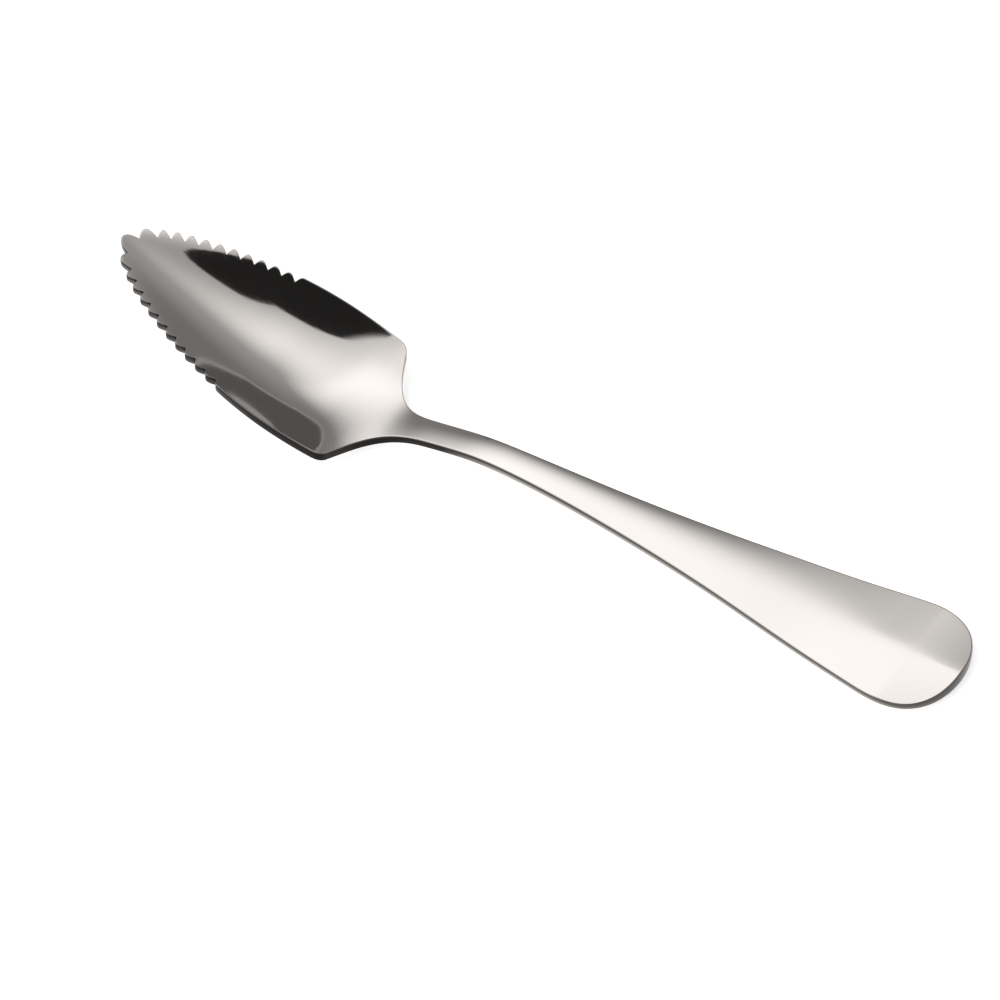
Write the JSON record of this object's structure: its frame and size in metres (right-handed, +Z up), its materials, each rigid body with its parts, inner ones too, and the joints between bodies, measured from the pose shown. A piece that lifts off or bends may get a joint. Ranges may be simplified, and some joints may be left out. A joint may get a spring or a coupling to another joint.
{
  "type": "grapefruit spoon",
  "caption": "Polished steel grapefruit spoon: a pointed trough bowl with a toothed rim that cuts citrus segments free, a slim neck and a flared handle with a round end.",
  "frame": {"origin": "middle of the spoon's footprint, on the table that it lies on", "axes": "+X from the tip of the bowl to the end of the handle, +Y across the bowl, +Z up, out of the bowl's hollow"},
  "size_m": [0.154, 0.028, 0.0171],
  "materials": {
    "polished_steel": "stainless steel, polished nearly to a mirror, with fine lengthwise polishing lines"
  },
  "bodies": {
    "root": {"bowl": "polished_steel", "handle": "polished_steel"}
  },
  "joints": []
}
